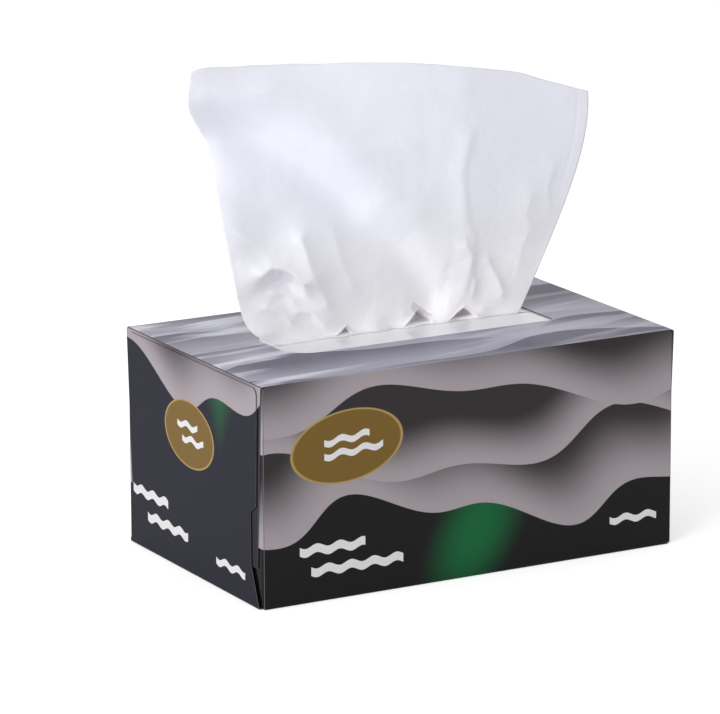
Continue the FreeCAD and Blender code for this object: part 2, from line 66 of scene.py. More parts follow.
# The film: cells along and across one half, how far the slit's edges lift and how far in, its small
# waves, the glued margin and the width over which the film sags off it, how fast the sheet's pull on the
# slit fades, and how close points are that merge
FILM_CELLS = (120, 30)
LIP_LIFT = 0.35 * MM
LIP_LIFT_REACH = 3 * MM
FILM_WAVE = 0.10 * MM
FILM_WAVE_PACE = (60, 90, 3.0)
FILM_MARGIN = 13 * MM
FILM_EASE = 6 * MM
FILM_SAG = 0.12 * MM
PULL_POWER = 3
DOUBLES = 0.01 * MM

# The clip of tissues: cuts of its block, layers seen on its sides, how its top is crowned, and the beads
# of folds
CLIP_CUTS = 40
CLIP_LAYERS = 24
CLIP_CROWN = 1.2 * MM
CROWN_POWER = 4
BEAD_SIDE = 0.98
BEAD_DEPTH = 0.9 * MM
BEAD_SWELL = 0.7 * MM
CLIP_BEVEL = 1.2 * MM
CLIP_BEVEL_STEPS = 2

# The sheet of tissue
SHEET_WIDTH = clip_high.x - clip_low.x
SHEET_LENGTH = 210 * MM
PLY_THICKNESS = 0.16 * MM
CAD_THICKNESS = 0.35 * MM
SHEET_LEAN = -2.75 * MM
STAND_HEIGHT = 113.4 * MM
STAND_DROP = 25 * MM
DROP_POWER = 2.3
COLLAR_HEIGHT = 6 * MM
TAKE_UP = 8 * MM
LIE_GAP = 0.2 * MM
LIE_MARGIN = 4 * MM
NECK_BEND = 1.5 * MM
LOOP_RADIUS = 0.9 * MM
PLEATS = 7
PLEAT_DEPTH = 0.9 * MM

# How the standing sheet widens from the slit to its free edge, as shares of the way out for shares of the
# way up
LEFT_JUMP = 0.385
LEFT_JUMP_RISE = 0.04
LEFT_SLOPE = 0.56
LEFT_SWELL = 0.12
LEFT_SWELL_RISE = 0.885
LEFT_SWELL_SPREAD = 0.09
RIGHT_SLOPE = 1.42
RIGHT_EASE_POWER = 4

# The free edge: how far its left corner drops and over what share of the width, its waver, swells of its
# height as millimetres, middle and spread, and the wave that it makes to the front and back
CORNER_DROP = 1.3 * MM
CORNER_SPREAD = 0.02
EDGE_WAVER = 0.4 * MM
EDGE_WAVER_PACE = 14
EDGE_SWELLS = [(-0.9, 0.32, 0.2), (1.2, 0.8, 0.09)]
FREE_WAVE = 1.2 * MM
FREE_WAVE_POWER = 3
FREE_WAVE_PACE = 9.0
FREE_WAVE_START = 0.6

# Soft folds of the standing sheet: their line in millimetres, as x and height above the carton, how far
# they leave the sheet's plane, away from the front where it is positive, and their spread on the left and
# right of the line
FOLDS = [
    ([(-108, 108), (-86, 98), (-68, 87), (-45, 71), (-25, 53), (-2, 32), (12, 12)], 7.0, 9.0, 11.0),
    ([(-56, 100), (-42, 88), (-20, 67), (2, 47), (22, 28)], -2.4, 12.0, 18.0),
    ([(33, 74), (29, 60), (31, 40), (34, 33), (33, 22), (30, 12)], -0.8, 1.8, 5.0),
    ([(-86, 100), (-78, 70), (-74, 44)], -1.6, 11.0, 11.0),
    ([(-72, 40), (-64, 22), (-60, 8)], -1.8, 9.0, 9.0),
    ([(-12, 44), (0, 26), (6, 12)], -1.8, 11.0, 11.0),
    ([(-28, 76), (-14, 74), (6, 74)], -0.45, 3.0, 6.0),
    ([(-14, 97), (4, 95), (30, 95)], -0.45, 3.0, 6.0),
    ([(-84, 104), (-72, 101), (-60, 101)], -0.4, 3.0, 6.0),
    ([(-12, 52), (-2, 47), (8, 47)], -0.5, 3.0, 7.0),
    ([(44, 92), (60, 88), (78, 87)], -0.4, 3.0, 6.0),
    ([(-80, 60), (-72, 56), (-62, 54)], -0.5, 2.5, 6.0),
]

# Sharp folds, given in the same way, and how sharp they are: 2 is as round as a soft fold
LIPS = [
    ([(-61, 28.5), (-57.5, 30.5), (-52, 29.5), (-47.5, 26.5), (-43.5, 22.5)], -6.8, 9.0, 1.5),
    ([(-44.5, 41), (-42.5, 36), (-40, 28), (-36, 20), (-33, 14)], -3.2, 5.5, 7.0),
    ([(-30, 42), (-27, 32), (-22, 20)], -1.4, 4.0, 9.0),
    ([(-60, 26.0), (-54, 26.0), (-50, 24.0)], 2.2, 1.6, 3.5),
    ([(-60, 15), (-54, 12.5), (-50, 9)], -1.6, 5.0, 1.2),
    ([(-57, 20.5), (-52, 20), (-49, 17)], -1.1, 4.0, 1.0),
    ([(-46, 12), (-40, 11), (-35, 6)], -1.4, 5.0, 1.3),
    ([(31, 30), (34, 26), (33, 20), (35, 15), (34, 10)], -1.5, 1.6, 5.0),
    ([(41, 23), (43, 19), (46, 14), (48, 9)], -1.7, 1.8, 5.0),
    ([(61, 47), (59, 40), (61, 34), (57, 27), (55, 20)], -1.6, 6.0, 10.0),
    ([(72, 58), (69, 50), (70, 43)], -0.8, 1.6, 6.0),
    ([(-76, 50), (-70, 45), (-65, 42)], -0.7, 6.0, 1.4),
]
LIP_POWER = 1.2

# Parts of the standing sheet that turn away from the front, or back to it where negative: where the turn
# starts along x, its side, the slope beyond it, the height over which it sets in and how far it is
# rounded, in millimetres
TURNS = [
    (31.0, 1, 0.18, 8.0, 34.0, 2.5),
    (-62.0, -1, -0.26, 8.0, 26.0, 6.0),
    (-64.0, -1, 0.5, 46.0, 78.0, 8.0),
    (-60.0, -1, -0.5, 84.0, 102.0, 10.0),
]

# Hollows where the sheet lifts off the film: left, middle and right in millimetres along x, and their
# height, then for all of them their depth, the softness of their outline, how high over the film they
# start, and the bulge above them
HOLLOWS = [
    (2.0, 8.2, 16.3, 6.2),
    (22.2, 29.8, 36.4, 4.6),
    (-29.5, -24.3, -21.6, 3.4),
]
HOLLOW_DEPTH = 5.0 * MM
HOLLOW_EDGE = 0.8 * MM
HOLLOW_START = 0.6 * MM
HOLLOW_LIP = 0.6 * MM

# How far a hollow and the bulge over it reach past its corners, as shares of its half width, and how they
# fade
HOLLOW_SIDE = 1.05
HOLLOW_SIDE_EASE = 0.1
BULGE_SIDE = 1.3
BULGE_SIDE_EASE = 0.3

# Fine crumples of the sheet: size of a facet, how facets are stretched upwards and warped, and their depth
# at the slit and at the free edge, with how fast the one turns to the other
FACET = 17 * MM
FACET_STRETCH = 1.6
WARP = 0.35
WARP_PACE = 1.7
WARP_SHIFT = Vector((7, 3, 1))
FACET_DEPTH_LOW = 0.5 * MM
FACET_DEPTH_HIGH = 0.25 * MM
FACET_EASE = 1.6

# The line of the hem beside the right edge: its place across the sheet, its spread and depth, the share
# of the height at which it starts and how fast it sets in
HEM_SHARE = 0.972
HEM_SPREAD = 0.0035
HEM_DEPTH = 0.2 * MM
HEM_FOOT = 0.42
HEM_PACE = 5

# Way in which folds leave the sheet: away from where the photograph was taken, for one step to the back
SIGHT = Vector((0.559, 1.0, -0.287))

# Grid of the sheet: cells across it, up its standing half and down its inner half, and how much the rows
# crowd towards the slit, where 1 is evenly
COLUMNS = 216
STAND_ROWS = 150
LIE_ROWS = 52
STAND_CROWDING = 1.45


class Link:
    """One value among a set of nodes. Sums of links and numbers add the nodes that work them out."""

    def __init__(self, nodes, socket):
        self.nodes = nodes
        self.socket = socket

    def math(self, operation, *values):
        return self.nodes.node("ShaderNodeMath", {"operation": operation}, dict(enumerate(values)))

    def __add__(self, other):
        return self.math("ADD", self, other)

    __radd__ = __add__

    def __sub__(self, other):
        return self.math("SUBTRACT", self, other)

    def __rsub__(self, other):
        return self.math("SUBTRACT", other, self)

    def __mul__(self, other):
        return self.math("MULTIPLY", self, other)

    __rmul__ = __mul__

    def __truediv__(self, other):
        return self.math("DIVIDE", self, other)

    def __rtruediv__(self, other):
        return self.math("DIVIDE", other, self)

    def __abs__(self):
        return self.math("ABSOLUTE", self)

    def power(self, exponent):
        return self.math("POWER", self, exponent)

    def sine(self):
        return self.math("SINE", self)

    def most(self, other):
        return self.math("MAXIMUM", self, other)

    def sign(self):
        return self.math("SIGN", self)

    def above(self, limit):
        return self.math("GREATER_THAN", self, limit)

    def below(self, limit):
        return self.math("LESS_THAN", self, limit)

    def step(self, low, high):
        """0 at low and before it, 1 at high and beyond it, with no kink between."""
        return self.nodes.node(
            "ShaderNodeMapRange",
            {"interpolation_type": "SMOOTHSTEP", "clamp": True},
            {"Value": self, "From Min": low, "From Max": high},
        )


class Nodes:
    """The nodes of a material or of the world."""

    def __init__(self, tree):
        self.tree = tree

    def feed(self, socket, value):
        if isinstance(value, Link):
            self.tree.links.new(value.socket, socket)
        else:
            socket.default_value = value

    def node(self, kind, settings=None, sockets=None, output=0):
        """A node with its settings made first, then its sockets given values or links."""
        node = self.tree.nodes.new(kind)
        for name, value in (settings or {}).items():
            setattr(node, name, value)
        for name, value in (sockets or {}).items():
            self.feed(node.inputs[name], value)
        return Link(self, node.outputs[output])

    def seen_directly(self):
        """1 for rays that see a surface straight, in a gloss or through a film, 0 for light that it gives."""
        rays = ("Is Camera Ray", "Is Glossy Ray", "Is Transmission Ray")
        straight, gloss, through = [self.node("ShaderNodeLightPath", output=name) for name in rays]
        return straight.most(gloss).most(through)


class Finish(Nodes):
    """A material and the nodes behind it."""

    def __init__(self, name, **values):
        self.material = bpy.data.materials.new(name)
        self.material.use_nodes = True
        super().__init__(self.material.node_tree)
        self.shader = self.tree.nodes["Principled BSDF"]
        self.set(**values)

    def set(self, **values):
        """Sockets of the shader, named with _ for a space."""
        for name, value in values.items():
            self.feed(self.shader.inputs[name.replace("_", " ")], value)

    def mix(self, share, one, other):
        """Colour one turning to the other as share goes from 0 to 1."""
        sides = [(*side, 1) if isinstance(side, tuple) and len(side) == 3 else side for side in (one, other)]
        sockets = {MIX_SHARE: share, MIX_ONE: sides[0], MIX_OTHER: sides[1]}
        return self.node("ShaderNodeMix", {"data_type": "RGBA"}, sockets, output=MIX_RESULT)

    def parts(self, vector):
        """The x, y and z of a vector, as three links."""
        return [self.node("ShaderNodeSeparateXYZ", None, {0: vector}, output=axis) for axis in range(3)]

    def place(self):
        """Place on the object, in millimetres, as three links."""
        point = self.node("ShaderNodeTexCoord", output="Object")
        return [part * (1 / MM) for part in self.parts(point)]

    def facing(self):
        """The surface's own normal, as three links."""
        return self.parts(self.node("ShaderNodeNewGeometry", output="Normal"))

    def vector(self, x, y, z):
        return self.node("ShaderNodeCombineXYZ", None, {0: x, 1: y, 2: z})

    def noise(self, point, scale, detail):
        sockets = {"Vector": point, "Scale": scale, "Detail": detail}
        return self.node("ShaderNodeTexNoise", None, sockets)

    def bump(self, height, distance, strength, under=None):
        """A normal that shows a height, over an earlier normal where one is given."""
        sockets = {"Height": height, "Distance": distance, "Strength": strength}
        if under is not None:
            sockets["Normal"] = under
        return self.node("ShaderNodeBump", None, sockets)


# Sockets of a colour mix
MIX_SHARE, MIX_ONE, MIX_OTHER, MIX_RESULT = 0, 6, 7, 2


def give(piece, finish):
    """The piece shows this finish in every slot."""
    piece.data.materials.clear()
    piece.data.materials.append(finish.material)


def tone(red, green, blue):
    """A colour read off a screen, 0 to 255, as the linear light that a shader takes."""
    channels = []
    for channel in (red, green, blue):
        share = channel / 255
        channels.append(share / 12.92 if share <= 0.04045 else ((share + 0.055) / 1.055) ** 2.4)
    return tuple(channels)


# Finish of the printed board
INK_BLACK = tone(8, 8, 11)
# Slate: the black ground as the ends show it, lighter and bluer by painted reflected light
END_GROUND_PAINTED_LIGHT = tone(14, 14, 32)
INK_LIGHT = tone(156, 148, 153)
INK_DARK = tone(44, 39, 41)
# On the top, the bands' pale and dark tones are the print lightened and blued by painted reflected light
TOP_PALE_AND_PAINTED_SHEEN = tone(164, 163, 177)
TOP_DARK_AND_PAINTED_SHEEN = tone(104, 102, 116)
# Pale streaks of painted sheen on the top
TOP_PAINTED_SHEEN = tone(216, 216, 226)
INK_GREEN = tone(0, 92, 48)
INK_PALE = tone(214, 212, 214)
INK_GOLD = tone(112, 86, 34)
INK_GOLD_RIM = tone(160, 136, 84)
# Cut board, darker than raw board: partly ink on the cut edges, partly painted shade in the gaps between the
# flaps
BARE_BOARD_AND_GAP_SHADE = tone(92, 90, 92)

# Wave bands of the print: height of the band's lower edge on the front, then height and length of its two
# swells, where each starts, and the height over which the band darkens, all in millimetres
WAVES = [
    (28, 9.0, 170, 76.5, 4.5, 61, 49, 30),
    (50, 8.0, 171, 42, 4.5, 77, -22, 22),
    (72, 9.0, 214, -66, 3.0, 71, 25, 26),
    (98, 8.0, 170, 30, 4.0, 90, 60, 30),
    (122, 7.0, 150, -60, 3.0, 66, 20, 28),
    (146, 9.0, 210, -40, 3.0, 76, 5, 36),
    (176, 8.0, 180, 80, 3.0, 88, -35, 44),
]
BAND_BORDER = 0.15

# How far the bands lean for each millimetre up, and how much higher they run on the ends
WAVE_LEAN = 0.45
END_RISE = 51.0

# Labels: middle, half sizes and turn of an ellipse, in millimetres and radians, and their rim and border
# as shares of it. Across the print, the ends follow on from the front: x beyond the carton's half length
LABELS = [
    (-56.0, 61.0, 25.0, 14.5, 0.10),
    (-153.0, 57.0, 21.0, 13.5, -0.06),
    (153.0, 57.0, 21.0, 13.5, 0.06),
]
LABEL_RIM = 0.06
LABEL_BORDER = 0.01

# Green glows: an ellipse on the front, and one seen from above at the left end that thins out downwards
GLOW = (2.0, 18.0, 38.0, 22.0, 1.0)
GLOW_CORE = 0.15
CORNER_GLOW = (-92.0, -24.0, 26.0, 21.0, 0.0)
CORNER_GLOW_DEPTH = 42.0
CORNER_GLOW_CORE = 0.1
CORNER_GLOW_SHARE = 0.9

# Streaks of painted sheen, pale reflected light, on the top: how their noise changes with x and y along and
# across them, its slice and detail, the values between which a streak sets in, its strength on the right, and
# what is added between two places to the left
SHEEN_ALONG = (0.011, 0.006)
SHEEN_ACROSS = (-0.012, 0.085)
SHEEN_SLICE = 3.0
SHEEN_DETAIL = 4.0
SHEEN_RANGE = (0.5, 0.64)
SHEEN_SHARE = 0.3
SHEEN_LEFT_SHARE = 0.6
SHEEN_LEFT = (-20.0, -70.0)

# What counts as the end and the top of the carton, and as cut board: depths under its outer face in
# millimetres, and how squarely an end faces along x
END_SKIN = 0.8
TOP_SKIN = 0.06
CUT_SKIN = 0.06
END_REACH = 2.0
END_FACING = 0.6

# Feel of the board: roughness of print and cut, the print's clear coat, and its relief as scale and
# detail of a noise with its depth and strength
PRINT_ROUGHNESS = 0.4
CUT_ROUGHNESS = 0.9
PRINT_COAT = 0.3
BOARD_RELIEF = [
    (22.0, 1.0, 1.2 * MM, 0.25),
    (900.0, 3.0, 0.06 * MM, 0.12),
]

# Pale wavy strokes: left and right end, lower and upper edge, and how much each climbs, then the pace and
# swing of their waves
STROKES = [
    (-66.0, -46.0, 62.0, 64.6, 0.08),
    (-66.0, -40.0, 56.5, 59.1, 0.08),
    (-77.0, -48.0, 19.5, 23.0, 0.0),
    (-72.0, -31.0, 11.0, 14.5, 0.0),
    (64.0, 86.0, 12.5, 15.3, 0.0),
    (-203.0, -172.0, 22.0, 25.5, 0.0),
    (-190.0, -155.0, 13.0, 16.5, 0.0),
    (-131.0, -107.0, 10.0, 12.8, 0.0),
    (-163.0, -146.0, 59.0, 61.4, 0.0),
    (-159.0, -141.0, 53.5, 55.9, 0.0),
    (143.0, 160.0, 59.0, 61.4, 0.0),
    (147.0, 165.0, 53.5, 55.9, 0.0),
    (172.0, 203.0, 22.0, 25.5, 0.0),
    (155.0, 190.0, 13.0, 16.5, 0.0),
]
STROKE_PACE = 0.62
STROKE_SWING = 0.8


def ellipse(across, up, middle_across, middle_up, half_across, half_up, turn):
    """Distance from the middle of a turned ellipse: 1 on its edge."""
    cosine, sine = math.cos(turn), math.sin(turn)
    along = (across - middle_across) * cosine + (up - middle_up) * sine
    over = (up - middle_up) * cosine - (across - middle_across) * sine
    return ((along / half_across).power(2.0) + (over / half_up).power(2.0)).power(0.5)


def wave(place, height, length, start):
    """A sine wave along a place, by its height, its length and where it starts."""
    return ((place - start) * (2 * math.pi / length)).sine() * height


class Print:
    """The print of the board: one picture that runs round the corners onto the ends and over the top."""

    def __init__(self, board):
        self.board = board
        self.x, self.y, self.z = board.place()
        self.half_length = HALF_LENGTH / MM
        self.half_depth = HALF_DEPTH / MM
        self.top = TOP / MM
        self.fold = FOLD_RADIUS / MM
        from_front = self.y + self.half_depth
        self.on_end = abs(self.x).above(self.half_length - END_SKIN)
        self.on_top = self.z.above(self.top - TOP_SKIN)
        self.across = self.x + self.x.sign() * from_front * self.on_end
        self.up = self.z + from_front * self.on_top

    def ground(self):
        """Black, lightened and blued to slate on the ends as painted reflected light, with a green glow on
        the front and on the left end.
        """
        corner = abs(self.across).step(self.half_length - self.fold, self.half_length + self.fold)
        # On the ends the black turns to slate: painted reflected light
        colour = self.board.mix(corner, INK_BLACK, END_GROUND_PAINTED_LIGHT)
        glow = ellipse(self.across, self.up, *GLOW)
        colour = self.board.mix(1.0 - glow.step(GLOW_CORE, 1.0), colour, INK_GREEN)
        glow = ellipse(self.x, self.y, *CORNER_GLOW) + (self.top - self.z) / CORNER_GLOW_DEPTH
        share = (1.0 - glow.step(CORNER_GLOW_CORE, 1.0)) * CORNER_GLOW_SHARE
        return self.board.mix(share, colour, INK_GREEN)

    def bands(self, colour):
        """Wave bands, each pale along its lower edge and darker upwards, lighter and bluer on the top by
        painted reflected light.
        """
        board = self.board
        # On the top both tones carry painted reflected light
        light = board.mix(self.on_top, INK_LIGHT, TOP_PALE_AND_PAINTED_SHEEN)
        dark = board.mix(self.on_top, INK_DARK, TOP_DARK_AND_PAINTED_SHEEN)
        leaning = self.across + (self.up - self.top / 2) * WAVE_LEAN
        for base, swell, length, start, ripple, ripple_length, ripple_start, depth in WAVES:
            edge = wave(leaning, swell, length, start) + wave(leaning, ripple, ripple_length, ripple_start)
            over = self.up - (edge + base + self.on_end * END_RISE)
            band = board.mix(over.step(0.0, depth), light, dark)
            colour = board.mix(over.step(-BAND_BORDER, BAND_BORDER), colour, band)
        return colour

    def painted_sheen(self, colour):
        """Painted sheen: pale streaks of reflected light on the top, stronger on the left."""
        along, across = [self.x * in_x + self.y * in_y for in_x, in_y in (SHEEN_ALONG, SHEEN_ACROSS)]
        streaks = self.board.noise(self.board.vector(along, across, SHEEN_SLICE), 1.0, SHEEN_DETAIL)
        strength = SHEEN_SHARE + SHEEN_LEFT_SHARE * self.x.step(*SHEEN_LEFT)
        return self.board.mix(streaks.step(*SHEEN_RANGE) * self.on_top * strength, colour, TOP_PAINTED_SHEEN)

    def labels(self, colour):
        """Brown ellipses with a lighter rim."""
        for label in LABELS:
            reach = ellipse(self.across, self.up, *label)
            rim = reach.step(1.0 - LABEL_RIM, 1.0 - LABEL_RIM / 2)
            badge = self.board.mix(rim, INK_GOLD, INK_GOLD_RIM)
            colour = self.board.mix(reach.step(1.0 + LABEL_BORDER, 1.0 - LABEL_BORDER), colour, badge)
        return colour

    def strokes(self, colour):
        """Pale wavy strokes."""
        for left, right, low, high, slope in STROKES:
            along = self.across - left
            level = self.up - along * slope + (along * STROKE_PACE).sine() * STROKE_SWING
            inside = self.across.above(left) * self.across.below(right) * level.above(low) * level.below(high)
            colour = self.board.mix(inside, colour, INK_PALE)
        return colour

    def bare(self):
        """1 where the board is cut or turns its inner side, 0 where it is printed."""
        places = (
            (self.x, self.half_length),
            (self.y, self.half_depth),
            (self.z - self.top / 2, self.top / 2),
        )
        outer = sum((abs(place) - (half - self.fold)).most(0.0).power(2.0) for place, half in places)
        skin = self.fold - outer.power(0.5)
        along_x = abs(self.board.facing()[0])
        end_face = along_x.above(END_FACING) * abs(self.x).above(self.half_length - END_REACH)
        return skin.above(CUT_SKIN) * (1.0 - end_face)


def board_finish():
    """Coated carton board with its print, bare where it is cut."""
    board = Finish("printed_board", Specular_IOR_Level=0.0, Coat_IOR=1.5, Coat_Roughness=0.14)
    picture = Print(board)
    colour = picture.strokes(picture.labels(picture.painted_sheen(picture.bands(picture.ground()))))
    bare = picture.bare()
    point = board.node("ShaderNodeTexCoord", output="Object")
    normal = None
    for scale, detail, depth, strength in BOARD_RELIEF:
        normal = board.bump(board.noise(point, scale, detail), depth, strength, under=normal)
    board.set(
        # Where the board is cut its grey includes painted shade of the gaps between the flaps
        Base_Color=board.mix(bare, colour, BARE_BOARD_AND_GAP_SHADE),
        Roughness=PRINT_ROUGHNESS + bare * (CUT_ROUGHNESS - PRINT_ROUGHNESS),
        Coat_Weight=PRINT_COAT - bare * PRINT_COAT,
        Normal=normal,
    )
    return board


# How much of the film is seen face on, and what is added at a glance: its white is partly its own milky tone
# and partly painted reflection of the white surroundings, which grows at a glance
FILM_ALPHA = 0.5
FILM_GLANCE_PAINTED_REFLECTION = 0.35
FILM_GLANCE_BLEND = 0.35


def film_finish():
    """Clear film: a thin milky veil face on, whiter at a glance, its white partly painted reflection of the
    surroundings beside the film's own gloss.
    """
    film = Finish("clear_film", Base_Color=(0.95, 0.95, 0.97, 1), Roughness=0.12, Specular_IOR_Level=0.6)
    glance = film.node("ShaderNodeLayerWeight", None, {"Blend": FILM_GLANCE_BLEND}, output="Facing")
    # More opaque white at a glance: painted reflection of the white surroundings
    film.set(Alpha=FILM_ALPHA + glance * FILM_GLANCE_PAINTED_REFLECTION)
    return film


# Tissue: its colour low and high on the standing half, paler low down as painted light that lifts the shade
# at the sheet's foot, the height between them in millimetres, and its relief as the pace of a noise across
# and along the sheet, its slice and detail, and its depth and strength
TISSUE_LOW_PAINTED_LIGHT = tone(250, 248, 252)
TISSUE_HIGH = tone(239, 240, 254)
TISSUE_TONE_RISE = 70.0
TISSUE_RELIEF = [
    (0.35, 2.4, 0.0, 3.0, 0.18 * MM, 0.35),
    (0.12, 0.12, 4.0, 2.0, 1.2 * MM, 0.25),
]

# Shade of the hollows, where the inner ply lies in its own shadow: how far it reaches beyond a hollow's
# outline, the softness of its border, and the depths behind the front between which it sets in, in
# millimetres
HOLLOW_SHADE = tone(222, 216, 221)
SHADE_REACH = 1.5
SHADE_BORDER = 0.3
SHADE_DEPTH = (1.6, 2.6)


def shade_hollows(tissue, colour):
    """A darker tone in each hollow along the foot of the sheet."""
    x, y, z = tissue.place()
    height = z - TOP / MM
    for left, middle, right, top in HOLLOWS:
        side = ((x - middle) / (right - middle)).most((middle - x) / (middle - left))
        under = (SHADE_REACH - side) * top - height
        colour = tissue.mix(under.step(0.0, SHADE_BORDER) * y.step(*SHADE_DEPTH), colour, HOLLOW_SHADE)
    return colour


def tissue_finish():
    """Creped two-ply tissue."""
    tissue = Finish(
        "creped_tissue",
        Roughness=0.92,
        Specular_IOR_Level=0.12,
        Subsurface_Weight=0.25,
        Subsurface_Radius=(0.003, 0.003, 0.0035),
        Subsurface_Scale=0.6,
        Sheen_Weight=0.08,
    )
    across, along = tissue.parts(tissue.node("ShaderNodeTexCoord", output="UV"))[:2]
    across, along = across * (SHEET_WIDTH / MM), along * (SHEET_LENGTH / MM)
    normal = None
    for wide, long, slice_at, detail, depth, strength in TISSUE_RELIEF:
        crepe = tissue.noise(tissue.vector(across * wide, along * long, slice_at), 1.0, detail)
        normal = tissue.bump(crepe, depth, strength, under=normal)
    # Paler towards the slit: painted light that lifts the shade at the sheet's foot
    rise = tissue.place()[2].step(TOP / MM, TOP / MM + TISSUE_TONE_RISE)
    colour = shade_hollows(tissue, tissue.mix(rise, TISSUE_LOW_PAINTED_LIGHT, TISSUE_HIGH))
    tissue.set(Normal=normal, Base_Color=colour)
    return tissue


# Layers of the clip: pace of the noise that bends them, how much it does, their own pace upwards, and
# their relief
LAYER_BEND_PACE = (0.02, 0.02, 0.1)
LAYER_BEND_DETAIL = 2.0
LAYER_BEND = 6.0
LAYER_PACE = 9.0
LAYER_DEPTH = 0.25 * MM
LAYER_STRENGTH = 0.6


def clip_finish():
    """The clip of tissues: white, with the edges of its layers along the sides."""
    white = (*tone(236, 236, 240), 1)
    clip = Finish("tissue_layers", Base_Color=white, Roughness=0.95, Specular_IOR_Level=0.1)
    places = clip.place()
    point = clip.vector(*(place * pace for place, pace in zip(places, LAYER_BEND_PACE)))
    bend = clip.noise(point, 1.0, LAYER_BEND_DETAIL)
    layers = (places[2] * LAYER_PACE + bend * LAYER_BEND).sine()
    clip.set(Normal=clip.bump(layers, LAYER_DEPTH, LAYER_STRENGTH))
    return clip


def smooth(share):
    """A step from 0 to 1 with no kink at either end."""
    share = min(1.0, max(0.0, share))
    return share * share * (3 - 2 * share)


def bell(share):
    """1 at 0, falling away on both sides."""
    return math.exp(-share ** 2)


# Gaps in millimetres that count as none, and as the same
LEAST_GAP = 1e-9
SAME_GAP = 1e-6


def gap_to_segment(x, height, start, end):
    """Distance to a line between two points, and its side: 1 straight to the left, -1 to the right."""
    run = (end[0] - start[0], end[1] - start[1])
    length = math.hypot(*run)
    along = ((x - start[0]) * run[0] + (height - start[1]) * run[1]) / length ** 2
    along = min(1.0, max(0.0, along))
    gap = math.hypot(x - start[0] - along * run[0], height - start[1] - along * run[1])
    across = (run[0] * (height - start[1]) - run[1] * (x - start[0])) / length
    return gap, across / max(gap, LEAST_GAP)


def ridge(x, height, line, left, right, power):
    """A ridge along a line: 1 on it, falling away over one spread on its left and another on its right."""
    found = [gap_to_segment(x, height, start, end) for start, end in zip(line, line[1:])]
    gap = min(found)[0]
    side = max((entry[1] for entry in found if entry[0] < gap + SAME_GAP), key=abs)
    spread = right + (left - right) * (0.5 + 0.5 * max(-1.0, min(1.0, side)))
    return math.exp(-(gap / spread) ** power)


def facets(x, height):
    """Flat facets with sharp borders, like crumpled paper: 0 on a border, 1 deep inside a facet."""
    point = Vector((x / FACET, height / (FACET_STRETCH * FACET), 0.0))
    seed = point * WARP_PACE
    point += Vector((noise.noise(seed), noise.noise(seed + WARP_SHIFT), 0)) * WARP
    distances, places = noise.voronoi(point, distance_metric="DISTANCE")
    return min(1.0, distances[1] - distances[0])


